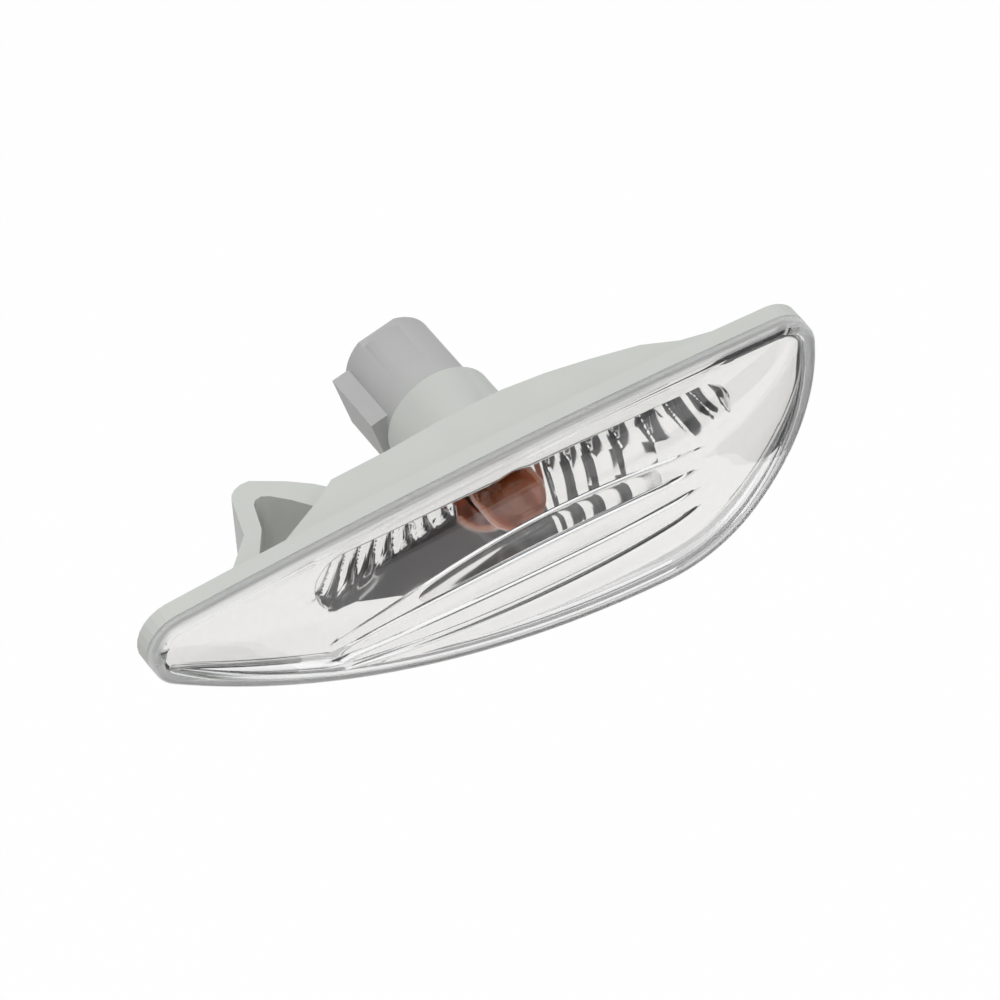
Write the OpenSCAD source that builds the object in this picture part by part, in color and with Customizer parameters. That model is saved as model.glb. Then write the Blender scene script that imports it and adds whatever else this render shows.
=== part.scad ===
// Side repeater lamp for a car wing.
// Frame: X runs along the lamp to the blunt end, Y points into the car, Z is up.
// The back face of the rim, which lies on the wing panel, is the plane Y = 0.

/* [Outline] */
// Length of the lamp over the rim
lamp_length = 116.4; // [110:0.2:124]
// Height of the lamp over the rim
lamp_height = 42.5; // [40:0.1:46]
// Radius of the pointed end
tip_radius = 6.1; // [5:0.1:7.5]
// Height of the pointed end above the middle
tip_height = 9.3; // [8:0.1:10.5]
// Where along the length the top edge is highest
crest_x = 55.5; // [50:0.1:58]
// Where along the length the bottom edge is lowest
belly_x = 26.7; // [22:0.1:31]
// Radius of the blunt end
end_radius = 40; // [36:0.5:46]
// Height of the middle of the blunt end
end_height = 14.2; // [12:0.1:16]
// Radius of the corner above the blunt end
corner_radius = 5.9; // [4.5:0.1:7]
// Radius of the corner below the blunt end
chin_radius = 24; // [18:0.5:28]

/* [Rim and lens] */
// Thickness of the grey rim
rim_t = 3; // [2.8:0.1:3.4]
// Depth of the rebate that the reflector lies in
rebate = 0.6; // [0.4:0.1:0.9]
// Front of the lens's shoulder, ahead of the panel
shoulder_depth = 6; // [5.8:0.1:6.8]
// Rounding of the lens's shoulder
shoulder_r = 1.2; // [0.9:0.1:1.5]
// How far the lens bulges past its shoulder
crown = 4.5; // [3.5:0.1:5.5]
// Thickness of the lens's side wall
lens_wall = 2; // [1.8:0.1:2.2]
// Thickness of the lens's front
lens_t = 1.8; // [1.6:0.1:1.9]
// Middle of the lens's bulge, along the length
crown_x = 6; // [2:0.5:10]

/* [Prism bands] */
// Height of one prism band
band_pitch = 4.4; // [4:0.05:4.6]
// Radius of one prism band
band_r = 4.5; // [4:0.1:6]
// How far the bands stand out of the lens's inner face
band_rise = 0.8; // [0.6:0.05:1]
// Height of the middle of the top band
band_top = 2; // [1:0.1:3]
// Radius of the long curve that the bands follow
band_sweep = 520; // [400:10:700]
// Left end of the bands
band_left = -28; // [-32:0.5:-25]
// Right end of the bands
band_right = 34; // [30:0.5:38]

/* [Reflector] */
// Thickness of the reflector's sheet
sheet_t = 1.1; // [1:0.05:1.3]
// Gap between the reflector and the lens's wall
sheet_gap = 0.5; // [0.4:0.05:0.6]
// Half height of the lamp pocket
pocket_r = 5.3; // [5.2:0.05:5.4]
// How much wider the pocket is round the bulb
bulb_room = 1.4; // [1:0.1:1.6]
// Left end of the pocket's middle line, from the bulb axis
pocket_left = -30; // [-31:0.1:-28]
// Right end of the pocket's middle line, from the bulb axis
pocket_right = 32.4; // [30:0.1:32.6]
// Tilt of the pocket's middle line
pocket_tilt = 1.6; // [1:0.1:1.8]
// Depth of the pocket behind the panel plane at the bulb
pocket_depth = 4.4; // [3.8:0.1:4.8]
// Spacing of the flutes in the pocket
flute_pitch = 3.4; // [3:0.1:4]
// Radius of each flute
flute_r = 2.1; // [1.9:0.1:2.6]
// How far each flute stands out of the pocket's floor
flute_rise = 1; // [0.7:0.1:1.2]

/* [Housing] */
// Step from the rim's edge in to the body
body_inset = 2.2; // [2:0.1:2.3]
// Wall of the body
body_wall = 1.5; // [1.3:0.1:1.6]
// Deepest part of the body
body_depth = 9.6; // [9.2:0.1:10.2]
// Height of the snap ear's top face
ear_top = 14; // [13:0.1:14.2]
// Width of the snap ear
ear_width = 13; // [8:0.5:15]
// Pad under the snap ear
ear_pad = 2.4; // [2.2:0.1:3]
// Gap for the panel under the toe
toe_gap = 2.2; // [2.1:0.1:2.6]
// Thickness of the toe
toe_t = 2; // [1.5:0.1:2.5]
// How far the toe reaches past the body
toe_reach = 2.4; // [1.5:0.1:3]

/* [Bulb axis and boss] */
// Bulb axis along the length
axis_x = 5.2; // [4.6:0.1:5.8]
// Bulb axis above the middle
axis_z = 7.9; // [7.6:0.1:8.1]
// Outer radius of the boss
boss_r = 9.25; // [9.1:0.05:9.6]
// Rear end of the boss
boss_end = 19.3; // [18:0.1:20]
// Radius of the boss's bore
boss_bore = 8; // [7.9:0.05:8.1]
// Front of the bayonet ledge
ledge_front = 9.6; // [9.4:0.1:10]
// Thickness of the bayonet ledge
ledge_t = 1.8; // [1.4:0.1:2]

/* [Bulb] */
// Radius of the glass capsule
glass_r = 5.15; // [5:0.05:5.3]
// Tip of the glass ahead of the panel plane
glass_tip = -6; // [-6.3:0.1:-5.4]
// Wall of the glass
glass_wall = 0.7; // [0.5:0.1:0.9]
// Front of the flat base of the bulb
base_front = 13.4; // [13:0.1:14]
// Length of the flat base
base_length = 8.2; // [7.6:0.1:8.6]
// Width of the flat base
base_width = 9.4; // [9:0.1:9.6]
// Thickness of the flat base
base_t = 2.5; // [2.3:0.1:2.7]
// Radius of the lead wires
wire_r = 0.3; // [0.25:0.01:0.35]
// Distance between the two lead wires in the flat base
wire_gap = 1.8; // [1.6:0.1:1.9]
// Distance between the two lead wires at the coil
coil_gap = 5.2; // [4.4:0.1:5.6]
// Where the coil sits along the bulb
coil_y = 0.2; // [-0.6:0.1:1]
// Radius of the filament coil
coil_r = 0.45; // [0.4:0.01:0.5]

/* [Bulb holder] */
// Radius of the holder's barrel
barrel_r = 7.65; // [7.4:0.05:7.8]
// Rear end of the barrel
barrel_end = 35.2; // [34.6:0.1:36]
// Radius of the holder's neck
neck_r = 6.2; // [6.1:0.05:6.3]
// Length of the flat on the barrel's rear rim
facet_l = 1.6; // [1:0.1:2.5]
// Distance of that flat from the bulb axis
facet_d = 6.9; // [6.7:0.1:7.1]
// Front end of the neck
neck_front = 7.4; // [7.2:0.1:7.6]
// Gap between neck and bayonet ledge
neck_gap = 0.2; // [0.15:0.05:0.3]
// Thickness of each bayonet lug
lug_t = 1.6; // [1.4:0.1:1.8]
// How far each bayonet lug stands out of the neck
lug_rise = 1.1; // [0.9:0.1:1.2]
// Clearance around the bulb in the holder
bulb_gap = 0.2; // [0.1:0.05:0.25]
// Turn of the holder in the boss
holder_turn = 15; // [0:0.5:30]
// Reach of the connector block from the bulb axis
block_reach = 9.8; // [9.4:0.1:10.6]
// Upper side of the connector block
block_up = 3.6; // [3.4:0.1:4.2]
// Lower side of the connector block
block_down = 7; // [6.4:0.1:7.2]
// Front of the connector block
block_front = 22.4; // [22:0.1:24]
// Wall of the connector block
block_wall = 1.3; // [1:0.1:1.5]
// Reach of the plug cavity past the bulb axis
plug_left = 3.6; // [3:0.1:4]
// Floor of the plug cavity
plug_floor = 25.6; // [25:0.1:26.4]

/* [Seal and terminals] */
// Front of the seal's groove
seal_front = 14.6; // [14.2:0.1:15]
// Length of the seal
seal_length = 2; // [1.6:0.1:2.2]
// Depth of the seal's groove in the barrel
seal_groove = 0.8; // [0.6:0.05:0.9]
// Thickness of each terminal strip
strip_t = 0.5; // [0.4:0.05:0.6]
// Width of each terminal strip
strip_w = 2.8; // [2.4:0.1:3]
// Shift of the plug blades toward the connector block
blade_shift = 1.9; // [1.5:0.1:2.2]
// Rear end of the plug blades
blade_end = 30.6; // [30:0.1:31]

/* [Hidden] */
$fn = 48;

half_l = lamp_length / 2;
knot_r = wire_r * 1.3;
half_h = lamp_height / 2;
shrink = 0.1;
tip_x = tip_radius - half_l;

// Big circles of the outline: top edge, blunt end and bottom edge.
top_rise = half_h - tip_height;
top_run = crest_x - tip_x;
top_r = (top_run * top_run + top_rise * top_rise - tip_radius * tip_radius) / (2 * (top_rise - tip_radius));
top_c = [crest_x, half_h - top_r];
low_drop = half_h + tip_height;
low_run = belly_x - tip_x;
low_r = (low_run * low_run + low_drop * low_drop - tip_radius * tip_radius) / (2 * (low_drop - tip_radius));
low_c = [belly_x, low_r - half_h];
end_c = [half_l - end_radius, end_height];

function meet(c1, r1, c2, r2, side) =
    let (d = c2 - c1, g = norm(d), a = (r1 * r1 - r2 * r2 + g * g) / (2 * g))
    let (h = sqrt(max(r1 * r1 - a * a, 0)))
    c1 + d / g * a + side * h / g * [-d[1], d[0]];
function way(c, p) = atan2(p[1] - c[1], p[0] - c[0]);
function arc(c, r, a, b, n) =
    [for (i = [0 : n - 1]) let (t = a + (b - a) * i / n) c + r * [cos(t), sin(t)]];

// Outline of the lamp, moved inward by a step, as a ring of points in X and Z.
function leaf(in) =
    let (rt = max(tip_radius - in, 0.6), rc = max(corner_radius - in, 0.6))
    let (rh = max(chin_radius - in, 0.6))
    let (tt = top_r - in, te = end_radius - in, tl = low_r - in)
    let (tip = meet(top_c, tt - rt, low_c, tl - rt, 1))
    let (cor = meet(top_c, tt - rc, end_c, te - rc, -1))
    let (chin = meet(end_c, te - rh, low_c, tl - rh, -1))
    let (a1 = way(low_c, tip) + 360, a2 = way(top_c, tip), a3 = way(top_c, cor))
    let (a4 = way(end_c, cor), a5 = way(end_c, chin), a6 = way(low_c, chin))
    concat(
        arc(tip, rt, a1, a2, 10),
        arc(top_c, tt, a2, a3, 10),
        arc(cor, rc, a3, a4, 8),
        arc(end_c, te, a4, a5, 6),
        arc(chin, rh, a5, a6, 8),
        arc(low_c, tl, a6, a1 - 360, 16));

// Ring of the outline at one depth, drawn in toward the crown's middle by a factor.
function ring(in, s, y) =
    [for (p = leaf(in)) [crown_x + s * (p[0] - crown_x), y, s * p[1]]];
function swell(s) = crown * (1 - pow(s, 3));

// Solid through a stack of rings, closed by one point at each end.
module stack(rings, first, last) {
    n = len(rings[0]);
    m = len(rings);
    pts = concat([first], [for (r = rings) for (p = r) p], [last]);
    end = len(pts) - 1;
    sides = [for (k = [0 : m - 2]) for (i = [0 : n - 1])
        let (j = (i + 1) % n, a = 1 + k * n + i, b = 1 + k * n + j)
        let (c = 1 + (k + 1) * n + i, d = 1 + (k + 1) * n + j)
        each [[a, b, c], [b, d, c]]];
    cap_a = [for (i = [0 : n - 1]) [0, 1 + (i + 1) % n, 1 + i]];
    cap_b = [for (i = [0 : n - 1]) let (o = 1 + (m - 1) * n) [end, o + i, o + (i + 1) % n]];
    polyhedron(pts, concat(sides, cap_a, cap_b), convexity = 6);
}

// Plate of the outline between two depths.
module leaf_plate(in, y0, y1) {
    translate([0, y1, 0])
        rotate([90, 0, 0])
            linear_extrude(y1 - y0)
                polygon(leaf(in));
}

// Anything drawn in X and Z, carried between two depths.
module along_y(y0, y1) {
    translate([0, y1, 0])
        rotate([90, 0, 0])
            linear_extrude(y1 - y0)
                children();
}

// Frame of the bulb holder: X points along the connector block, Z across it.
module on_axis() {
    translate([axis_x, 0, axis_z])
        rotate([0, 180 - holder_turn, 0])
            children();
}

module rod(r, y0, y1) {
    translate([0, y1, 0])
        rotate([90, 0, 0])
            cylinder(r = r, h = y1 - y0);
}

// Side view of the body seen from above, from the panel plane to its back wall.
body_side = [
    [-35, -rim_t - 4], [-35, 0], [-22.9, body_depth * 0.66], [-19.5, body_depth * 0.9],
    [-10, body_depth * 0.91], [0, body_depth * 0.985], [6, body_depth], [11, body_depth],
    [18.3, body_depth * 0.92], [25.5, body_depth * 0.78], [33.4, body_depth * 0.59],
    [38.9, body_depth * 0.32], [46, body_depth * 0.17], [47, 0], [47, -rim_t - 4]];

module body_block() {
    intersection() {
        leaf_plate(body_inset, -0.5, body_depth + 1);
        translate([0, 0, -half_h])
            linear_extrude(lamp_height)
                polygon(body_side);
    }
}

module body_hollow() {
    intersection() {
        leaf_plate(body_inset + body_wall, -rim_t - 0.5, body_depth + 1);
        translate([0, 0, -half_h])
            linear_extrude(lamp_height)
                offset(delta = -body_wall)
                    polygon(body_side);
    }
}

// Snap ear: a leaning strap with a hooked nose and a three-sided window.
module ear() {
    translate([0, 0, ear_top - ear_width])
        linear_extrude(ear_width)
            difference() {
                polygon([[-41.4, 0], [-40.1, 2.4], [-35.4, 7.5], [-33.2, 15.4], [-32.8, 16.1],
                    [-31.9, 16.9], [-30.6, 17.4], [-29.1, 17.4], [-24.4, 14.2], [-21.2, 11.4],
                    [-19.3, body_depth * 0.95], [-16, body_depth * 0.9], [-16, 0]]);
                polygon([[-35.6, ear_pad], [-32.5, 7.3], [-31, 12.4], [-30.3, 13.2], [-29.2, 13.4],
                    [-28.1, 12.8], [-25.8, 10.3], [-22.9, body_depth * 0.66],
                    [-30.6, ear_pad]]);
            }
}

// Toe that goes behind the panel's edge at the blunt end.
module toe() {
    intersection() {
        translate([43, toe_gap, 0.5])
            cube([8 + toe_reach, toe_t, 8]);
        leaf_plate(body_inset - toe_reach, toe_gap - 1, toe_gap + toe_t + 1);
    }
    intersection() {
        translate([43, -0.5, 0.5])
            cube([8, toe_gap + toe_t + 0.5, 8]);
        leaf_plate(body_inset, -1, toe_gap + toe_t + 1);
    }
}

// Room that the bayonet ring, neck and seal need inside the boss.
module boss_room() {
    translate([axis_x, 0, axis_z]) {
        rod(boss_bore, ledge_front + ledge_t, boss_end + 1);
        rod(neck_r + neck_gap, ledge_front - 1, ledge_front + ledge_t + 1);
        rod(boss_bore - 0.4, -rim_t - 1, ledge_front);
    }
    for (k = [0 : 2])
        on_axis()
            rotate([0, 120 * k + 50, 0])
                translate([-2, ledge_front - 1, 0])
                    cube([4, ledge_t + 2, neck_r + lug_rise + 0.3]);
}

module housing() {
    color([0.66, 0.67, 0.65])
        difference() {
            union() {
                leaf_plate(0, -rim_t, 0);
                body_block();
                ear();
                toe();
                translate([axis_x, 0, axis_z])
                    rod(boss_r, -0.5, boss_end);
            }
            body_hollow();
            boss_room();
            leaf_plate(lens_wall + sheet_gap - 0.1, -rim_t - 1, rebate - rim_t);
        }
}

inner_y = shoulder_depth - lens_t;
in_edge = lens_wall + 0.9;
out_edge = shrink + shoulder_r;

module lens_shell() {
    stack(
        [for (s = [0.35, 0.62, 0.84, 1]) ring(in_edge, s, -inner_y - swell(s)),
            ring(lens_wall + 0.3, 1, -inner_y + 0.12),
            ring(lens_wall + 0.05, 1, -inner_y + 0.35),
            ring(lens_wall, 1, -rim_t),
            ring(0, 1, -rim_t),
            ring(shrink, 1, -shoulder_depth + shoulder_r),
            for (t = [25, 50, 75]) ring(shrink + shoulder_r * (1 - cos(t)), 1,
                -shoulder_depth + shoulder_r * (1 - sin(t))),
            for (s = [1, 0.86, 0.68, 0.45]) ring(out_edge + 0.25, s, -shoulder_depth - swell(s))],
        [crown_x, -inner_y - crown, 0],
        [crown_x, -shoulder_depth - crown, 0]);
}

// Middle layer of the lens: the prisms may grow from it but not through the lens.
module lens_core() {
    stack(
        [ring(lens_wall - 0.8, 1, -rim_t - 0.6),
            ring(lens_wall - 0.8, 1, -inner_y + 0.4),
            for (s = [1, 0.84, 0.62, 0.35]) ring(in_edge - 0.8, s, -inner_y - lens_t / 2 - swell(s))],
        [crown_x, -rim_t - 0.6, 0],
        [crown_x, -inner_y - lens_t / 2 - crown, 0]);
}

// Four long rounded prisms on the lower part of the lens's inner face.
module bands() {
    base_y = -inner_y - crown * 0.98;
    intersection() {
        translate([crown_x, base_y + band_sweep, band_top])
            rotate([0, 0, -95])
                rotate_extrude(angle = 10, $fn = 360)
                    translate([band_sweep, 0])
                        intersection() {
                            union() {
                                for (k = [0 : 3])
                                    translate([band_r - band_rise - 0.08 * k * k, -k * band_pitch])
                                        circle(r = band_r);
                            }
                            translate([-band_rise - 1, -3.5 * band_pitch])
                                square([band_rise + 2.2, 4 * band_pitch]);
                        }
        translate([band_left, -shoulder_depth - crown, -half_h])
            cube([band_right - band_left, shoulder_depth + crown, lamp_height]);
        lens_core();
    }
}

module lens() {
    color([0.93, 0.95, 0.96, 0.35])
        union() {
            lens_shell();
            bands();
        }
}

pocket_mid = (pocket_left + pocket_right) / 2;
sheet_back = rebate - rim_t;
sheet_front = sheet_back - sheet_t;

// Pill outline of the pocket, laid through the bulb axis.
module pill(r) {
    translate([axis_x, axis_z + 0.9])
        rotate(pocket_tilt)
            union() {
                translate([pocket_left, 0])
                    circle(r = r);
                translate([pocket_right, 0])
                    circle(r = r);
                translate([pocket_left, -r])
                    square([pocket_right - pocket_left, 2 * r]);
            }
    translate([axis_x, axis_z])
        circle(r = r + bulb_room);
}

// Depth of the pocket's floor along the lamp.
pocket_line = [[-60, -1.8], [-29.5, -1.6], [-20, pocket_depth * 0.55], [-14, pocket_depth],
    [16, pocket_depth], [31, pocket_depth * 0.4], [38, -1.2], [60, -1.6]];

module pocket_side(step) {
    polygon(concat([[-60, -rim_t - 3]], [for (p = pocket_line) p + [0, step]], [[60, -rim_t - 3]]));
}

flute_n = floor((pocket_right - pocket_left + pocket_r) / flute_pitch);

module pocket_room() {
    difference() {
        intersection() {
            along_y(sheet_front - 1, pocket_depth + 1)
                pill(pocket_r);
            translate([0, 0, -half_h])
                linear_extrude(lamp_height)
                    pocket_side(0);
        }
        for (k = [0 : flute_n])
            let (x = axis_x + pocket_left - 1 + k * flute_pitch)
                if (abs(x - axis_x) > glass_r + flute_r)
                    translate([x, lookup(x, pocket_line) + flute_r - flute_rise, axis_z - 12])
                        cylinder(r = flute_r, h = 24);
    }
}

module pocket_shell() {
    intersection() {
        leaf_plate(body_inset + body_wall + 0.1, sheet_front, pocket_depth + 3);
        along_y(sheet_front, pocket_depth + 3)
            pill(pocket_r + sheet_t);
        translate([0, 0, -half_h])
            linear_extrude(lamp_height)
                pocket_side(sheet_t);
    }
}

module reflector() {
    color([0.88, 0.89, 0.9])
        difference() {
            union() {
                leaf_plate(lens_wall + sheet_gap, sheet_front, sheet_back);
                pocket_shell();
            }
            pocket_room();
            translate([axis_x, 0, axis_z])
                rod(glass_r + 0.45, -1, pocket_depth + 3);
        }
}

// Path of one lead wire: up from the coil, through the flat base and back along its face.
module wires(side) {
    turn_y = base_front + base_length + knot_r;
    leg_y = base_front - 2.2;
    lean = atan((coil_gap - wire_gap) / 2 / (leg_y - coil_y));
    translate([0, leg_y, side * wire_gap / 2]) {
        rotate([-side * lean, 0, 0])
            rod(wire_r, (coil_y - leg_y) / cos(lean), 0);
        sphere(r = knot_r);
    }
    translate([0, coil_y, side * coil_gap / 2])
        sphere(r = knot_r);
    translate([0, 0, side * wire_gap / 2]) {
        rod(wire_r, leg_y, turn_y);
        translate([-side * wire_r, turn_y - wire_r, -wire_r])
            mirror([side < 0 ? 1 : 0, 0, 0])
                cube([base_t / 2 + 3 * wire_r, 2 * wire_r, 2 * wire_r]);
        translate([side * (base_t / 2 + wire_r), 0, 0])
            rod(wire_r, base_front + 1.5, turn_y);
    }
}

module bulb_glass() {
    color([0.85, 0.45, 0.15, 0.6])
        on_axis()
            difference() {
                union() {
                    intersection() {
                        union() {
                            rod(glass_r, glass_tip + glass_r, base_front + 1);
                            translate([0, glass_tip + glass_r, 0])
                                sphere(r = glass_r);
                        }
                        rod(glass_r + 1, glass_tip, base_front);
                    }
                    translate([-base_t / 2, base_front - 1, -base_width / 2])
                        cube([base_t, base_length + 1, base_width]);
                }
                rod(glass_r - glass_wall, glass_tip + glass_r, base_front - 1.5);
                translate([0, glass_tip + glass_r, 0])
                    sphere(r = glass_r - glass_wall);
                for (side = [-1, 1])
                    translate([0, 0, side * wire_gap / 2])
                        rod(wire_r, base_front - 2, base_front + base_length + 1);
            }
}

module bulb_filament() {
    color([0.45, 0.45, 0.46])
        on_axis()
            translate([0, coil_y - knot_r - coil_r, 0])
                difference() {
                    translate([0, 0, -coil_gap / 2 - wire_r])
                        cylinder(r = coil_r, h = coil_gap + 2 * wire_r);
                    for (k = [-4 : 4])
                        translate([0, 0, k * 0.5])
                            rotate_extrude()
                                translate([coil_r, 0])
                                    circle(r = 0.13, $fn = 16);
                }
}

module lead(side) {
    color([0.6, 0.6, 0.58])
        on_axis()
            wires(side);
}

module bulb_lead_left() {
    lead(1);
}

module bulb_lead_right() {
    lead(-1);
}

slot_half = base_t / 2 + 2 * wire_r;

// Side view of one terminal strip: contact beside the bulb's base, then the plug blade.
module strip(side) {
    x0 = side > 0 ? slot_half : -slot_half - strip_t;
    translate([0, 0, -strip_w / 2])
        linear_extrude(strip_w)
            polygon([[x0, base_front + 1], [x0 + strip_t, base_front + 1],
                [x0 + strip_t, plug_floor - 3.2], [x0 + strip_t + blade_shift, plug_floor - 1.6],
                [x0 + strip_t + blade_shift, blade_end], [x0 + blade_shift, blade_end],
                [x0 + blade_shift, plug_floor - 1.6], [x0, plug_floor - 3.2]]);
}

module terminal_left() {
    color([0.8, 0.65, 0.35])
        on_axis()
            strip(1);
}

module terminal_right() {
    color([0.8, 0.65, 0.35])
        on_axis()
            strip(-1);
}

module bulb_holder() {
    color([0.72, 0.72, 0.72])
        on_axis()
            difference() {
                union() {
                    rod(neck_r, neck_front, ledge_front + ledge_t + 1);
                    rod(barrel_r, ledge_front + ledge_t + 0.1, barrel_end);
                    for (k = [0 : 2])
                        rotate([0, 120 * k + 110, 0])
                            translate([-1.6, ledge_front - 0.1 - lug_t, 0])
                                intersection() {
                                    cube([3.2, lug_t, neck_r + lug_rise]);
                                    translate([1.6, 0, 0])
                                        rod(neck_r + lug_rise, -1, ledge_front);
                                }
                    translate([0, block_front, -block_up])
                        cube([block_reach, barrel_end - 0.6 - block_front, block_up + block_down]);
                }
                rod(glass_r + bulb_gap, neck_front - 1, base_front + 0.6);
                translate([-base_t / 2 - 2 * wire_r, base_front, -base_width / 2 - bulb_gap])
                    cube([base_t + 4 * wire_r, base_length + 2 * wire_r + bulb_gap,
                        base_width + 2 * bulb_gap]);
                for (side = [-1, 1])
                    strip(side);
                translate([-plug_left, plug_floor, -block_up + block_wall])
                    cube([block_reach - block_wall + plug_left, barrel_end,
                        block_up + block_down - 2 * block_wall - 1]);
                translate([-barrel_r, barrel_end - facet_l, -facet_d - barrel_r])
                    cube([2 * barrel_r, facet_l + 1, barrel_r]);
                difference() {
                    rod(barrel_r + 1, seal_front, seal_front + seal_length);
                    rod(barrel_r - seal_groove, seal_front - 1, seal_front + seal_length + 1);
                }
            }
}

module holder_seal() {
    color([0.12, 0.12, 0.12])
        translate([axis_x, 0, axis_z])
            difference() {
                rod(boss_bore, seal_front + 0.1, seal_front + seal_length - 0.1);
                rod(barrel_r - seal_groove, seal_front - 1, seal_front + seal_length + 1);
            }
}

housing();
lens();
reflector();
bulb_glass();
bulb_filament();
bulb_lead_left();
bulb_lead_right();
bulb_holder();
holder_seal();
terminal_left();
terminal_right();
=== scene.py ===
import math

import bmesh
import bpy
import numpy as np
from mathutils import Matrix, Vector


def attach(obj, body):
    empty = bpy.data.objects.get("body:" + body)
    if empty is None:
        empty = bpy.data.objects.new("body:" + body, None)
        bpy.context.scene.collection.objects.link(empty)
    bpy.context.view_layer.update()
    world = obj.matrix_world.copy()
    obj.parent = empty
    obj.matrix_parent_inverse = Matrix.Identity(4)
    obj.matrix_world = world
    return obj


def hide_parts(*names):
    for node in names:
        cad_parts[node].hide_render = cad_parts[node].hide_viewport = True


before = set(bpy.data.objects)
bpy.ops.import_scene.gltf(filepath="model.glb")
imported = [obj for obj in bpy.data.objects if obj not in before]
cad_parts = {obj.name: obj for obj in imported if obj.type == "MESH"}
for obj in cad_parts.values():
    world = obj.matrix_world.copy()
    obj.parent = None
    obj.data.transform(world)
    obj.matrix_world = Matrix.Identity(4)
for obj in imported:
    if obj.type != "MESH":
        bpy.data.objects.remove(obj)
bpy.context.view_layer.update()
scene = bpy.context.scene

MM = 0.001

# Outline and lens in millimetres, as the solids have them.
HALF_LENGTH, HALF_HEIGHT = 58.2, 21.25
TIP_RADIUS, TIP_HEIGHT = 6.1, 9.3
CREST_X, BELLY_X = 55.5, 26.7
END_RADIUS, END_HEIGHT = 40.0, 14.2
CORNER_RADIUS, CHIN_RADIUS = 5.9, 24.0
RIM_FRONT = -3.0
SHOULDER_FRONT, SHOULDER_RADIUS, SHOULDER_INSET = -6.0, 1.2, 0.1
LENS_WALL, INNER_FRONT, INNER_INSET = 2.0, -4.2, 2.9
CROWN, CROWN_X = 4.5, 6.0

# Lens mesh: how the bulge falls away along and across, then its edge as rings of an inset and a depth.
# The shoulder's first rings stay polished, and the rest is the matt side wall.
FALL_ALONG, FALL_ACROSS = 3, 2.6
FRONT_MARGIN, WELD_GAP = 0.25, 0.02
FILLET_TURNS = (90, 78, 66, 54, 42, 30, 18, 6, 0)
POLISHED_RINGS = 5
WALL_DRAFT = ((0.03, 0.2), (0.05, WELD_GAP))
INNER_EDGE = ((2.6, 0.03), (2.3, 0.12), (2.05, 0.35))
LENS_COLUMNS, END_GAP = 240, 0.02

# Prism bands: four rounded ridges low on the lens's inner face, which follow a shallow arch and close
# up toward the pointed end.
BAND_TOP, BAND_PITCH, BAND_COUNT = 9.0, 4.9, 4
BAND_CREST, BAND_ARCH = 14.0, 0.0037
BAND_LEFT, BAND_RIGHT, BAND_FADE = -32.0, 38.0, 8.0
BAND_RISE, BAND_CUSP = 0.85, 0.62
SQUEEZE, SQUEEZE_X, SQUEEZE_REACH = 0.55, 10, 38
BAND_ROWS, LOW_ROWS, HIGH_ROWS = 12, 7, 13
LENS_ROWS = LOW_ROWS + BAND_COUNT * BAND_ROWS + HIGH_ROWS + 1

# Reflector: a sheet with a fluted pocket about the bulb's axis and a trough that runs on below it.
AXIS_X, AXIS_Z = 5.2, 7.9
SHEET_INSET, SHEET_FRONT, SHEET_THICK = 2.5, -3.5, 0.8
POCKET_RADIUS, POCKET_LEFT, POCKET_RIGHT = 5.3, -24.8, 37.6
POCKET_RISE, POCKET_TILT_DEGREES, END_HALF_SQUARED = 0.9, 1.6, 0.06
BULB_RADIUS, BULB_HOLE, HOLE_PULL, HOLE_SLACK = 6.7, 5.45, 0.3, 0.02
# Over x: how deep the pocket's floor lies, and how low the trough's edge runs.
POCKET_FLOOR = [(-60, -1.8), (-29.5, -1.6), (-22, 0.9), (-2, 4.4), (14, 4.4), (31, 1.76), (38, -1.2),
                (60, -1.6)]
POCKET_FOOT = [(-30, 8), (-27, 4.2), (-20, 1.5), (-10, -2), (0, -3.2), (20, -2.9), (30, -1.6), (38, 1.5),
               (43, 8)]
FLOOR_EASE, FOOT_EASE, EASE_STEPS, TROUGH_TURN = 3.5, 2.5, 13, 0.78
# Steps down from the pocket's upper edge where its floor curves up, then the rounded edge: step and depth.
LIP_REACH, LIP_TURN = 0.75, (0.7, 0.35, 0.12, 0.03)
LIP_EDGE = ((0.0, 0.22), (-0.12, 0.05), (-0.45, 0.0))
SKIRT_ROWS, FLOOR_ROWS, TOP_ROWS = 8, 44, 6
FINE_STEP, FINE_FROM, END_TURN = 0.3, 0.4, (0.02, 0.08, 0.18, 0.3)
PLATE_FROM, LEFT_COLUMNS, RIGHT_COLUMNS = 0.1, 30, 26

# Flutes: wider apart past WIDE_FROM, leaning as given over x, curling outward low down, and fading
# out round the bulb and, to its left, toward the trough.
FLUTE_PITCH, FLUTE_RADIUS, FLUTE_RISE = 3.4, 2.1, 1.0
WIDE_FROM, WIDE_SHARE = 20.0, 0.74
FLUTE_LEAN = [(-30, -1.1), (-22, -0.75), (-12, -0.2), (0, 0.1), (12, 0.14), (28, 0.14), (42, 0.5)]
FLUTE_CURL, CURL_BELOW = 0.035, 3
BULB_FADE, TROUGH_FROM, TROUGH_FADE = 1.5, 4.5, 2.5


# Outline

def crossing(c1, r1, c2, r2, side):
    """Where two circles cross, on the chosen side of the line between their middles."""
    d = c2 - c1
    gap = np.hypot(*d)
    along = (r1 * r1 - r2 * r2 + gap * gap) / (2 * gap)
    across = math.sqrt(max(r1 * r1 - along * along, 0))
    return c1 + d / gap * along + side * across / gap * np.array([-d[1], d[0]])


def bearing(centre, point):
    """Direction from the centre to the point, in degrees."""
    return math.degrees(math.atan2(point[1] - centre[1], point[0] - centre[0]))


def arc(centre, radius, start, end, count=120):
    """Points along a circle from one bearing up to the next, which the next arc begins with."""
    angles = np.radians(np.linspace(start, end, count, endpoint=False))
    return centre + radius * np.stack([np.cos(angles), np.sin(angles)], 1)


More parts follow.
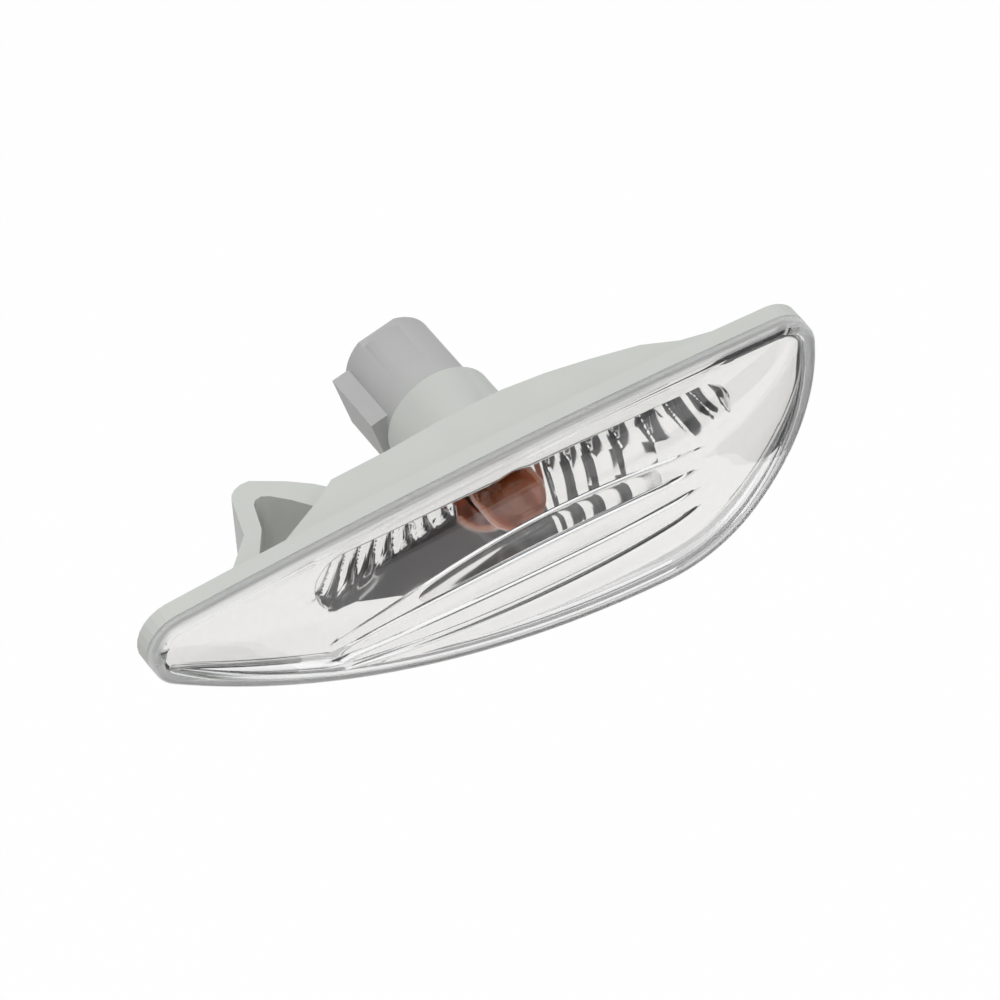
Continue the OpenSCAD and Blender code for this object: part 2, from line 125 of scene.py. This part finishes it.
def leaf(inset):
    """Outline of the lamp, moved inward, as a ring of points from its lower left over the top."""
    tip_x = TIP_RADIUS - HALF_LENGTH
    rise, run = HALF_HEIGHT - TIP_HEIGHT, CREST_X - tip_x
    top_r = (run ** 2 + rise ** 2 - TIP_RADIUS ** 2) / (2 * (rise - TIP_RADIUS))
    top_c = np.array([CREST_X, HALF_HEIGHT - top_r])
    drop, run = HALF_HEIGHT + TIP_HEIGHT, BELLY_X - tip_x
    low_r = (run ** 2 + drop ** 2 - TIP_RADIUS ** 2) / (2 * (drop - TIP_RADIUS))
    low_c = np.array([BELLY_X, low_r - HALF_HEIGHT])
    end_c = np.array([HALF_LENGTH - END_RADIUS, END_HEIGHT])
    tip_r, corner_r, chin_r = TIP_RADIUS - inset, CORNER_RADIUS - inset, CHIN_RADIUS - inset
    top, end, low = top_r - inset, END_RADIUS - inset, low_r - inset
    tip = crossing(top_c, top - tip_r, low_c, low - tip_r, 1)
    corner = crossing(top_c, top - corner_r, end_c, end - corner_r, -1)
    chin = crossing(end_c, end - chin_r, low_c, low - chin_r, -1)
    turns = [bearing(low_c, tip) + 360, bearing(top_c, tip), bearing(top_c, corner),
             bearing(end_c, corner), bearing(end_c, chin), bearing(low_c, chin)]
    turns.append(turns[0] - 360)
    arcs = [(tip, tip_r), (top_c, top), (corner, corner_r), (end_c, end), (chin, chin_r), (low_c, low)]
    return np.vstack([arc(c, r, turns[i], turns[i + 1]) for i, (c, r) in enumerate(arcs)])


def edges(inset):
    """The outline as two lines over x: its lower and its upper edge."""
    ring = leaf(inset)
    ring = np.roll(ring, -int(ring[:, 0].argmin()), axis=0)
    east = int(ring[:, 0].argmax())
    upper = ring[:east + 1]
    lower = np.vstack([ring[east:], ring[:1]])[::-1]
    return (lambda x: np.interp(x, lower[:, 0], lower[:, 1]),
            lambda x: np.interp(x, upper[:, 0], upper[:, 1]),
            ring[0, 0], ring[east, 0])


def columns(west, east, count):
    """Places along x that crowd together toward both ends, where the outline turns."""
    first = 2 * math.asin(math.sqrt(END_GAP / (east - west)))
    return west + (east - west) * (1 - np.cos(np.linspace(first, math.pi - first, count))) / 2


# Meshes

def add_grid(verts, faces, grid):
    """Adds a sheet of points as rows and columns, and gives the numbers its points got."""
    rows, cols, _ = grid.shape
    index = len(verts) + np.arange(rows * cols).reshape(rows, cols)
    verts.extend(grid.reshape(-1, 3).tolist())
    for i in range(rows - 1):
        for j in range(cols - 1):
            faces.append((index[i, j], index[i, j + 1], index[i + 1, j + 1], index[i + 1, j]))
    return index


def border(index):
    """The numbers round the edge of a sheet, in order."""
    return [*index[0, :], *index[1:, -1], *index[-1, -2::-1], *index[-2:0:-1, 0]]


def outward(points):
    """Directions out of a ring of points in x and z that runs anticlockwise."""
    along = np.roll(points, -1, 0) - np.roll(points, 1, 0)
    out = np.stack([along[:, 1], -along[:, 0]], 1)
    return out / np.maximum(np.linalg.norm(out, axis=1, keepdims=True), 1e-9)


def add_rings(verts, faces, start, base_inset, steps):
    """Carries a border on through rings, each at its own inset and depth."""
    flat = np.array([verts[i] for i in start])[:, [0, 2]]
    out = outward(flat)
    last = list(start)
    for inset, y in steps:
        ring = flat + out * (base_inset - inset)
        first = len(verts)
        verts.extend([[x, y, z] for x, z in ring])
        now = list(range(first, first + len(ring)))
        for i in range(len(now)):
            j = (i + 1) % len(now)
            faces.append((last[i], last[j], now[j], now[i]))
        last = now
    return last


def make_piece(name, verts, faces, smooth_angle=30):
    """A mesh object from millimetre points, with its faces turned outward."""
    mesh = bpy.data.meshes.new(name)
    points = [tuple(c * MM for c in v) for v in verts]
    mesh.from_pydata(points, [], [tuple(int(i) for i in f) for f in faces])
    work = bmesh.new()
    work.from_mesh(mesh)
    bmesh.ops.recalc_face_normals(work, faces=work.faces)
    work.to_mesh(mesh)
    work.free()
    mesh.shade_smooth()
    mesh.set_sharp_from_angle(angle=math.radians(smooth_angle))
    piece = bpy.data.objects.new(name, mesh)
    scene.collection.objects.link(piece)
    return piece


def dome(x, side, west, east):
    """Height of the lens's bulge: full at the crown, nothing at the outline."""
    reach = np.where(x < CROWN_X, CROWN_X - west, east - CROWN_X)
    along = 1 - (np.abs(x - CROWN_X) / reach) ** FALL_ALONG
    return CROWN * along * (1 - np.abs(side) ** FALL_ACROSS)


def band_squeeze(x):
    """Share of their pitch that the bands keep at x."""
    return 1 - SQUEEZE * ((x - SQUEEZE_X) / SQUEEZE_REACH) ** 2


def band_lines(x, low, high):
    """Heights of the bands' edges over x, from the lowest up, held in proportion past the bands' ends."""
    held = np.clip(x, BAND_LEFT, BAND_RIGHT)
    lines = []
    for k in range(BAND_COUNT, -1, -1):
        there = BAND_TOP - BAND_ARCH * (held - BAND_CREST) ** 2 - k * BAND_PITCH * band_squeeze(held)
        part = (there - low(held)) / (high(held) - low(held))
        lines.append(low(x) + part * (high(x) - low(x)))
    return lines


def smooth_step(value):
    """A soft change from nothing to one as the value goes from nothing to one."""
    t = np.clip(value, 0, 1)
    return t * t * (3 - 2 * t)


def eased(x, points, reach):
    """A line through the points with its corners rounded over the reach to each side."""
    steps = np.linspace(-reach, reach, EASE_STEPS)
    return np.mean([np.interp(x + step, *zip(*points)) for step in steps], axis=0)


def lens_outside(verts, faces):
    """The domed front, the rounded shoulder and the side wall. Gives the foot's points and the wall's faces."""
    front_inset = SHOULDER_INSET + SHOULDER_RADIUS + FRONT_MARGIN
    low, high, west, east = edges(front_inset)
    x = columns(west, east, LENS_COLUMNS)
    side = -np.cos(np.linspace(0, math.pi, LENS_ROWS))[:, None]
    z = (low(x) + high(x)) / 2 + side * (high(x) - low(x)) / 2
    y = SHOULDER_FRONT - dome(x[None, :], side, west, east)
    front = add_grid(verts, faces, np.stack([np.broadcast_to(x, z.shape), y, z], 2))
    fillet = [(SHOULDER_INSET + SHOULDER_RADIUS * (1 - math.cos(math.radians(t))),
               SHOULDER_FRONT + SHOULDER_RADIUS * (1 - math.sin(math.radians(t)))) for t in FILLET_TURNS]
    wall = [(inset, RIM_FRONT - depth) for inset, depth in WALL_DRAFT]
    wall_first = len(faces) + POLISHED_RINGS * len(border(front))
    foot = add_rings(verts, faces, border(front), front_inset, fillet + wall)
    return foot, range(wall_first, len(faces))


def lens_inside(verts, faces):
    """The hollow side with its prism bands, out to the weld. Gives the points at the weld."""
    low, high, west, east = edges(INNER_INSET)
    x = columns(west, east, LENS_COLUMNS)
    lines = [low(x)] + band_lines(x, low, high) + [high(x)]
    counts = [LOW_ROWS] + [BAND_ROWS] * BAND_COUNT + [HIGH_ROWS]
    rows, banded, off_crest = [], [], []
    for part, count in enumerate(counts):
        for i in range(count):
            t = i / count
            rows.append(lines[part] * (1 - t) + lines[part + 1] * t)
            banded.append(1.0 if 0 < part <= BAND_COUNT else 0.0)
            off_crest.append((2 * t - 1) ** 2)
    rows.append(lines[-1])
    banded.append(0.0)
    off_crest.append(0.0)
    z = np.array(rows)
    side = 2 * (z - low(x)) / np.maximum(high(x) - low(x), 1e-6) - 1
    ends = smooth_step((x - BAND_LEFT) / BAND_FADE) * smooth_step((BAND_RIGHT - x) / BAND_FADE)
    close = band_squeeze(np.clip(x, BAND_LEFT, BAND_RIGHT))
    ridge = BAND_RISE * close - BAND_CUSP * close ** 2 * np.array(off_crest)[:, None]
    y = INNER_FRONT - dome(x[None, :], side, west, east) + ridge * np.array(banded)[:, None] * ends
    inner = add_grid(verts, faces, np.stack([np.broadcast_to(x, z.shape), y, z], 2))
    turn = [(inset, INNER_FRONT + depth) for inset, depth in INNER_EDGE]
    return add_rings(verts, faces, border(inner), INNER_INSET, turn + [(LENS_WALL, RIM_FRONT - WELD_GAP)])


def lens_moulding():
    """The whole lens, and which of its faces are the matt side wall and which the weld, which carries a painted
    highlight.
    """
    verts, faces = [], []
    foot, outer_wall = lens_outside(verts, faces)
    inside = lens_inside(verts, faces)
    weld_first = len(faces)
    wall = [*outer_wall, *range(weld_first - len(inside), weld_first)]
    for i in range(len(foot)):
        j = (i + 1) % len(foot)
        faces.append((foot[i], foot[j], inside[j], inside[i]))
    return make_piece("lens_moulding", verts, faces, smooth_angle=22), wall, range(weld_first, len(faces))


def sheet_columns(west, east, left, right):
    """Places along x for the reflector: even and fine over the pocket, crowded where its ends turn."""
    turn = np.array(END_TURN)
    x = np.concatenate([columns(west, left - PLATE_FROM, LEFT_COLUMNS), left + turn,
                        np.arange(left + FINE_FROM, right - FINE_FROM, FINE_STEP), right - turn[::-1],
                        columns(right + PLATE_FROM, east, RIGHT_COLUMNS)])
    return np.unique(np.round(x, 3))


def sheet_rows(low, foot, top, high):
    """Rows of the reflector from its lower edge up: height, share of the floor's depth, and own depth."""
    rows = [(low * (1 - t) + foot * t, 0.0, 0.0) for t in np.linspace(0, 1, SKIRT_ROWS + 1)[:-1]]
    for t in np.linspace(0, 1, FLOOR_ROWS + 1)[:-1]:
        share = math.sin(math.pi / 2 * min(t / TROUGH_TURN, 1))
        rows.append((foot * (1 - t) + (top - LIP_TURN[0]) * t, share, 0.0))
    rows += [(top - step, math.sqrt(1 - (1 - step / LIP_REACH) ** 2), 0.0) for step in LIP_TURN]
    rows += [(top - step, 0.0, depth) for step, depth in LIP_EDGE]
    for t in np.linspace(0, 1, TOP_ROWS + 1)[1:]:
        rows.append(((top - LIP_EDGE[-1][0]) * (1 - t) + high * t, 0.0, 0.0))
    return rows


def flutes(x, drop):
    """How far the flutes stand out of the pocket's floor, at x and this far from the pocket's middle line."""
    along = np.where(x > WIDE_FROM, WIDE_FROM + (x - WIDE_FROM) * WIDE_SHARE, x)
    along = along + np.interp(x, *zip(*FLUTE_LEAN)) * drop
    along = along + FLUTE_CURL * np.minimum(drop + CURL_BELOW, 0) ** 2
    near = (along - AXIS_X + FLUTE_PITCH / 2) % FLUTE_PITCH - FLUTE_PITCH / 2
    bump = np.sqrt(FLUTE_RADIUS ** 2 - near ** 2) - (FLUTE_RADIUS - FLUTE_RISE)
    clear = smooth_step((np.abs(x - AXIS_X) - BULB_RADIUS) / BULB_FADE)
    fluted = np.where(x > AXIS_X, 1.0, smooth_step((drop + TROUGH_FROM) / TROUGH_FADE))
    return np.maximum(bump, 0) * clear * fluted


def draw_to_hole(grid):
    """The hole that the bulb comes through: points near its edge are drawn onto a circle."""
    from_axis = np.hypot(grid[:, :, 0] - AXIS_X, grid[:, :, 2] - AXIS_Z)
    pull = (from_axis > BULB_HOLE - HOLE_PULL) & (from_axis < BULB_HOLE + HOLE_PULL)
    for c, centre in ((0, AXIS_X), (2, AXIS_Z)):
        grid[:, :, c] = np.where(pull, centre + (grid[:, :, c] - centre) * BULB_HOLE / from_axis, grid[:, :, c])


def reflector_sheet():
    """The metallised sheet: plate, pocket, trough, flutes and the bulb's hole, with its wall's thickness."""
    low, high, west, east = edges(SHEET_INSET)
    left, right = POCKET_LEFT - POCKET_RADIUS, POCKET_RIGHT + POCKET_RADIUS
    x = sheet_columns(west, east, left, right)
    middle = AXIS_Z + POCKET_RISE + math.tan(math.radians(POCKET_TILT_DEGREES)) * (x - AXIS_X)
    past = np.maximum(np.maximum(POCKET_LEFT - x, x - POCKET_RIGHT), 0)
    half = np.sqrt(np.maximum(POCKET_RADIUS ** 2 - past ** 2, END_HALF_SQUARED))
    bulb = np.sqrt(np.maximum(BULB_RADIUS ** 2 - (x - AXIS_X) ** 2, 0))
    foot = np.minimum(middle - half, eased(x, POCKET_FOOT, FOOT_EASE))
    top = np.maximum(middle + half, AXIS_Z + bulb)
    rows = sheet_rows(low(x), foot, top, high(x))

    z = np.maximum.accumulate(np.array([height for height, _, _ in rows]), axis=0)
    z = np.clip(z, low(x), high(x))
    bottom = eased(x, POCKET_FLOOR, FLOOR_EASE) - flutes(x, z - middle)
    inside = ((x > left) & (x < right)).astype(float)
    y = np.full(z.shape, SHEET_FRONT)
    for i, (_, share, depth) in enumerate(rows):
        y[i] += ((bottom[i] - SHEET_FRONT) * share + depth) * inside
    grid = np.stack([np.broadcast_to(x, z.shape), y, z], 2)
    draw_to_hole(grid)

    verts, faces = [], []
    add_grid(verts, faces, grid)
    flat = grid.reshape(-1, 3)
    reach = np.hypot(flat[:, 0] - AXIS_X, flat[:, 2] - AXIS_Z)
    faces = [f for f in faces if max(reach[i] for i in f) > BULB_HOLE + HOLE_SLACK]
    piece = make_piece("reflector_sheet", verts, faces, smooth_angle=40)
    thick = piece.modifiers.new("sheet", "SOLIDIFY")
    thick.thickness = SHEET_THICK * MM
    thick.offset = 1 if piece.data.polygons[0].normal.y > 0 else -1
    return piece


# Materials

def linear(code):
    """An sRGB hex colour as the linear values that the shaders take."""
    parts = [int(code[i:i + 2], 16) / 255 for i in (1, 3, 5)]
    return [c / 12.92 if c <= 0.04045 else ((c + 0.055) / 1.055) ** 2.4 for c in parts] + [1.0]


def add_node(tree, kind, settings=None, values=None, links=None):
    """One shader node with its settings, its sockets' values and what feeds them."""
    made = tree.nodes.new(kind)
    for name, value in (settings or {}).items():
        setattr(made, name, value)
    for socket, value in (values or {}).items():
        made.inputs[socket].default_value = value
    for socket, source in (links or {}).items():
        tree.links.new(source, made.inputs[socket])
    return made


def new_material(name):
    """An empty material and its node tree."""
    made = bpy.data.materials.new(name)
    made.use_nodes = True
    made.node_tree.nodes.clear()
    return made, made.node_tree


def grain(tree, size_mm, detail=3.0, stretch=(1, 1, 1)):
    """Noise whose spots are about one real size across."""
    place = add_node(tree, "ShaderNodeTexCoord")
    sized = add_node(tree, "ShaderNodeMapping", values={"Scale": stretch},
                     links={"Vector": place.outputs["Object"]})
    return add_node(tree, "ShaderNodeTexNoise", values={"Scale": 1 / (size_mm * MM), "Detail": detail},
                    links={"Vector": sized.outputs["Vector"]})


def finish_with(tree, shader):
    """Sends the shader to the material's surface."""
    add_node(tree, "ShaderNodeOutputMaterial", links={"Surface": shader.outputs[0]})


# Moulded plastic: width of its flow clouds in millimetres, and how far its roughness strays.
CLOUD_MM, GLOSS_SPREAD = 9, 0.06


def moulded_plastic(name, light, dark, grain_mm, relief_mm, roughness):
    """Injection-moulded plastic: even colour with faint flow clouds and the fine grain of an eroded mould."""
    made, tree = new_material(name)
    clouds = grain(tree, CLOUD_MM, detail=2)
    tone = add_node(tree, "ShaderNodeMix", {"data_type": "RGBA"}, {"A": linear(dark), "B": linear(light)},
                    {"Factor": clouds.outputs["Fac"]})
    fine = grain(tree, grain_mm)
    relief = add_node(tree, "ShaderNodeBump", values={"Strength": 0.5, "Distance": relief_mm * MM},
                      links={"Height": fine.outputs["Fac"]})
    gloss = add_node(tree, "ShaderNodeMapRange",
                     values={"To Min": roughness - GLOSS_SPREAD, "To Max": roughness + GLOSS_SPREAD},
                     links={"Value": fine.outputs["Fac"]})
    shader = add_node(tree, "ShaderNodeBsdfPrincipled", values={"IOR": 1.53},
                      links={"Base Color": tone.outputs["Result"], "Roughness": gloss.outputs["Result"],
                             "Normal": relief.outputs["Normal"]})
    finish_with(tree, shader)
    return made


def clear_moulding(name, colour, ior, wave_mm, relief_mm, roughness, clear=1.0):
    """Clear material with the broad, faint waves of its making, which bend what shows through it a little."""
    made, tree = new_material(name)
    waves = grain(tree, wave_mm, detail=1)
    relief = add_node(tree, "ShaderNodeBump", values={"Strength": 0.3, "Distance": relief_mm * MM},
                      links={"Height": waves.outputs["Fac"]})
    shader = add_node(tree, "ShaderNodeBsdfPrincipled",
                      values={"Base Color": linear(colour), "Roughness": roughness, "IOR": ior,
                              "Transmission Weight": clear},
                      links={"Normal": relief.outputs["Normal"]})
    finish_with(tree, shader)
    return made


def metal(name, light, dark, grain_mm, relief_mm, roughness, stretch=(1, 1, 1)):
    """Bare or coated metal: clouds of tone and roughness over fine relief from its making."""
    made, tree = new_material(name)
    marks = grain(tree, grain_mm, detail=4, stretch=stretch)
    tone = add_node(tree, "ShaderNodeMix", {"data_type": "RGBA"}, {"A": linear(dark), "B": linear(light)},
                    {"Factor": marks.outputs["Fac"]})
    gloss = add_node(tree, "ShaderNodeMapRange", values={"To Min": roughness * 0.8, "To Max": roughness * 1.2},
                     links={"Value": marks.outputs["Fac"]})
    relief = add_node(tree, "ShaderNodeBump", values={"Strength": 0.3, "Distance": relief_mm * MM},
                      links={"Height": marks.outputs["Fac"]})
    shader = add_node(tree, "ShaderNodeBsdfPrincipled", values={"Metallic": 1.0},
                      links={"Base Color": tone.outputs["Result"], "Roughness": gloss.outputs["Result"],
                             "Normal": relief.outputs["Normal"]})
    finish_with(tree, shader)
    return made


# ABS from an eroded mould: a soft grey-green with a satin sheen. The real grain is finer than a pixel.
abs_moulded = moulded_plastic("abs_injection_moulded", "#CCCFCA", "#C5C8C3", 0.35, 0.012, 0.42)
# Glass-filled nylon: a cooler, flatter grey than the housing, with fibres that dull the sheen.
nylon_moulded = moulded_plastic("nylon_injection_moulded", "#BABBBA", "#B1B2B1", 0.45, 0.02, 0.5)
# Nitrile rubber: near black, with a dull pressed skin.
rubber_pressed = moulded_plastic("nitrile_rubber_pressed", "#242424", "#1C1C1C", 0.3, 0.02, 0.7)
# Acrylic from a polished mould: water clear, sharp at its edges, with the faintest flow waves.
acrylic_polished = clear_moulding("acrylic_polished_moulding", "#FFFFFF", 1.49, 7, 0.01, 0.015)
# The lens's side wall: the same acrylic with the mould's matt sides, so milky and pale.
acrylic_matt = clear_moulding("acrylic_matt_side", "#FAFBFA", 1.49, 3, 0.01, 0.3, clear=0.84)
# The foot where the hot plate has welded the lens on: opaque white, a painted highlight for the light that the
# glass wall carries down to the rim, its palest line.
acrylic_weld_highlight = moulded_plastic("acrylic_weld_painted_highlight", "#FAFBFA", "#F0F1F0", 0.5, 0.02, 0.6)
# Soda glass dipped in amber lacquer: orange where it is thin, brown where one wall shows through the other.
glass_amber = clear_moulding("soda_glass_amber_lacquer", "#DE7A36", 1.5, 4, 0.006, 0.03, clear=0.72)
# Aluminium evaporated onto a moulding: a bright mirror, softened by the lacquer over it.
aluminium_evaporated = metal("aluminium_evaporated", "#F0EFED", "#EAE9E7", 1.2, 0.003, 0.1)
# Tungsten drawn and coiled: dark, dry grey.
tungsten_drawn = metal("tungsten_drawn", "#77777A", "#5E5E62", 0.2, 0.004, 0.4)
# Nickel-plated steel wire: a warm grey with draw marks along it.
wire_nickel_plated = metal("nickel_plated_wire", "#B5B1A8", "#9C988F", 0.25, 0.004, 0.3)
# Brass strip, stamped: yellow, brushed along its length by the rolls.
brass_stamped = metal("brass_stamped", "#D8BE7C", "#C4A865", 0.5, 0.006, 0.28, stretch=(1, 0.15, 1))

NODE_FINISH = {
    "housing": abs_moulded,
    "bulb_holder": nylon_moulded,
    "holder_seal": rubber_pressed,
    "bulb_glass": glass_amber,
    "bulb_filament": tungsten_drawn,
    "bulb_lead_left": wire_nickel_plated,
    "bulb_lead_right": wire_nickel_plated,
    "terminal_left": brass_stamped,
    "terminal_right": brass_stamped,
}


def dress(piece, finish):
    """Gives the piece one finish all over."""
    piece.data.materials.clear()
    piece.data.materials.append(finish)


for name, finish in NODE_FINISH.items():
    dress(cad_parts[name], finish)

# Moulded edges are never sharp: a small round catches the light along them.
EDGE_ROUND_MM = {"housing": 0.25, "bulb_holder": 0.3}
JOIN_MM, EDGE_ANGLE = 0.002, 40
for name, width_mm in EDGE_ROUND_MM.items():
    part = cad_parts[name]
    joined = part.modifiers.new("joined_faces", "WELD")
    joined.merge_threshold = JOIN_MM * MM
    rounding = part.modifiers.new("mould_edges", "BEVEL")
    rounding.width = width_mm * MM
    rounding.segments = 2
    rounding.limit_method = "ANGLE"
    rounding.angle_limit = math.radians(EDGE_ANGLE)

lens, wall_faces, weld_highlight_faces = lens_moulding()
dress(lens, acrylic_polished)
# The weld's faces get a painted highlight: opaque white that stands in for light the glass wall carries down to
# the rim.
for finish, its_faces in ((acrylic_matt, wall_faces), (acrylic_weld_highlight, weld_highlight_faces)):
    lens.data.materials.append(finish)
    for i in its_faces:
        lens.data.polygons[i].material_index = len(lens.data.materials) - 1
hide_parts("lens")
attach(lens, "root")

reflector = reflector_sheet()
dress(reflector, aluminium_evaporated)
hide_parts("reflector")
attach(reflector, "root")

# Bulb: the solid's own glass, drawn out toward the lens. Behind TUBE_FROM nothing moves, and in front
# of DOME_FROM all of it moves by GLASS_REACH, so that the round end keeps its shape.
GLASS_REACH, TUBE_FROM, DOME_FROM = 0.9, 2.0, -0.85
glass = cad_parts["bulb_glass"]
capsule = bpy.data.objects.new("bulb_capsule", glass.data.copy())
scene.collection.objects.link(capsule)
for point in capsule.data.vertices:
    share = (TUBE_FROM * MM - point.co.y) / ((TUBE_FROM - DOME_FROM) * MM)
    point.co.y -= GLASS_REACH * MM * min(max(share, 0), 1)
dress(capsule, glass_amber)
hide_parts("bulb_glass")
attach(capsule, "root")


# Studio

# In metres. The floor lies well below the lamp, which is held by its mount. SOFT_LIGHT is the world's
# light on the object, and PAINT_SHARE the part of the board's own paint that shows, with its shadow.
FLOOR_DROP, FLOOR_SIZE = 0.25, 6.0
SOFT_LIGHT, PAINT_SHARE = 0.36, 0.02


def seen_directly(tree):
    """One for rays from the camera or by way of metal or glass, nothing for rays that light the object."""
    path = add_node(tree, "ShaderNodeLightPath")
    either = add_node(tree, "ShaderNodeMath", {"operation": "MAXIMUM"})
    tree.links.new(path.outputs["Is Camera Ray"], either.inputs[0])
    tree.links.new(path.outputs["Is Glossy Ray"], either.inputs[1])
    any_of = add_node(tree, "ShaderNodeMath", {"operation": "MAXIMUM"})
    tree.links.new(either.outputs[0], any_of.inputs[0])
    tree.links.new(path.outputs["Is Transmission Ray"], any_of.inputs[1])
    return any_of.outputs[0]


def mix_shaders(tree, share, first, second):
    """The first shader where the share is nothing, the second where it is one."""
    mixed = add_node(tree, "ShaderNodeMixShader")
    tree.links.new(share, mixed.inputs["Fac"])
    tree.links.new(first.outputs[0], mixed.inputs[1])
    tree.links.new(second.outputs[0], mixed.inputs[2])
    return mixed


def flat_panel(name, low, high, finish):
    """A lying panel between two corners, or a standing one where the corners differ in height."""
    mesh = bpy.data.meshes.new(name)
    corners = [low, (high[0], low[1], low[2]), high, (low[0], high[1], high[2])]
    mesh.from_pydata(corners, [], [(0, 1, 2, 3)])
    panel = bpy.data.objects.new(name, mesh)
    scene.collection.objects.link(panel)
    dress(panel, finish)
    return panel


world = bpy.data.worlds.new("white_studio")
scene.world = world
world.use_nodes = True
tree = world.node_tree
tree.nodes.clear()
soft = add_node(tree, "ShaderNodeBackground", values={"Color": linear("#FFFFFF"), "Strength": SOFT_LIGHT})
white = add_node(tree, "ShaderNodeBackground", values={"Color": linear("#FFFFFF"), "Strength": 1.0})
sky = mix_shaders(tree, seen_directly(tree), soft, white)
add_node(tree, "ShaderNodeOutputWorld", links={"Surface": sky.outputs[0]})

# Painted white board: its own matt white, lifted for the camera and for reflections, so that the shadow
# stays faint.
board, tree = new_material("white_board_painted")
paint = add_node(tree, "ShaderNodeBsdfPrincipled", values={"Base Color": linear("#F0F0EE"), "Roughness": 0.9})
glow = add_node(tree, "ShaderNodeEmission", values={"Color": linear("#FFFFFF"), "Strength": 1.0})
lifted = mix_shaders(tree, seen_directly(tree), paint, glow)
shadowed = add_node(tree, "ShaderNodeMixShader", values={"Fac": PAINT_SHARE})
tree.links.new(lifted.outputs[0], shadowed.inputs[1])
tree.links.new(paint.outputs[0], shadowed.inputs[2])
finish_with(tree, shadowed)
half = FLOOR_SIZE / 2
flat_panel("studio_floor", (-half, -half, -FLOOR_DROP), (half, half, -FLOOR_DROP), board)

# Black cards, as used to draw dark lines into bright metal: they show only by way of a reflection.
card_black, tree = new_material("black_card_matt")
fibres = grain(tree, 1.5)
tone = add_node(tree, "ShaderNodeMix", {"data_type": "RGBA"}, {"A": linear("#3A3A3D"), "B": linear("#48484B")},
                {"Factor": fibres.outputs["Fac"]})
dull = add_node(tree, "ShaderNodeBsdfPrincipled", values={"Roughness": 0.9},
                links={"Base Color": tone.outputs["Result"]})
gone = add_node(tree, "ShaderNodeBsdfTransparent")
path = add_node(tree, "ShaderNodeLightPath")
finish_with(tree, mix_shaders(tree, path.outputs["Glossy Depth"], gone, dull))
# Three cards lie just over the floor and two stand, each between two corners in metres.
CARD_HEIGHT = 0.002 - FLOOR_DROP
CARDS = {
    "card_left": ((-0.60, -0.62, CARD_HEIGHT), (0.0, -0.02, CARD_HEIGHT)),
    "card_right": ((0.23, -0.29, CARD_HEIGHT), (0.43, 0.05, CARD_HEIGHT)),
    "card_near": ((0.35, -1.0, CARD_HEIGHT), (1.6, -0.3, CARD_HEIGHT)),
    "card_front": ((0.5, -1.0, -FLOOR_DROP), (1.6, -1.0, 1.3)),
    "card_high": ((0.22, -1.01, 0.05), (0.5, -1.01, 1.3)),
}
for name, (low, high) in CARDS.items():
    card = flat_panel(name, low, high, card_black)
    card.visible_camera = False
    card.visible_diffuse = False
    card.visible_shadow = False

LAMP_SIZE = 0.6
LAMPS = {
    "key_lamp": ((-0.25, -0.35, 0.98), 7.4),
    "fill_lamp": ((0.7, -0.5, 0.5), 1.4),
}
for name, (place, power) in LAMPS.items():
    lamp = bpy.data.lights.new(name, "AREA")
    lamp.energy = power
    lamp.size = LAMP_SIZE
    held = bpy.data.objects.new(name, lamp)
    held.location = place
    held.rotation_euler = (-Vector(place)).to_track_quat("-Z", "Y").to_euler()
    held.visible_glossy = False
    held.visible_transmission = False
    scene.collection.objects.link(held)

# Camera: the photograph's angle, with its slight roll and its distance of about a metre.
AZIMUTH, ELEVATION, ROLL = (math.radians(v) for v in (-27.29, 44.26, 4.45))
DISTANCE = 0.98
AIM = Vector((0, 0.006, 0))
FOCAL_LENGTH, SHIFT_X, SHIFT_Y = 230.4, 0.0424, 0.0163
right = Vector((math.cos(AZIMUTH), math.sin(AZIMUTH), 0))
up = Vector((-math.sin(AZIMUTH) * math.sin(ELEVATION), math.cos(AZIMUTH) * math.sin(ELEVATION),
             math.cos(ELEVATION)))
back = right.cross(up)
across = right * math.cos(ROLL) - up * math.sin(ROLL)
upright = right * math.sin(ROLL) + up * math.cos(ROLL)
place = AIM + back * DISTANCE
eye = bpy.data.cameras.new("camera")
eye.sensor_width = 36.0
eye.lens = FOCAL_LENGTH
eye.shift_x = SHIFT_X
eye.shift_y = SHIFT_Y
eye.clip_start = 0.05
camera = bpy.data.objects.new("camera", eye)
camera.matrix_world = Matrix((
    (across.x, upright.x, back.x, place.x),
    (across.y, upright.y, back.y, place.y),
    (across.z, upright.z, back.z, place.z),
    (0, 0, 0, 1)))
scene.collection.objects.link(camera)
scene.camera = camera
scene.view_settings.view_transform = "Standard"
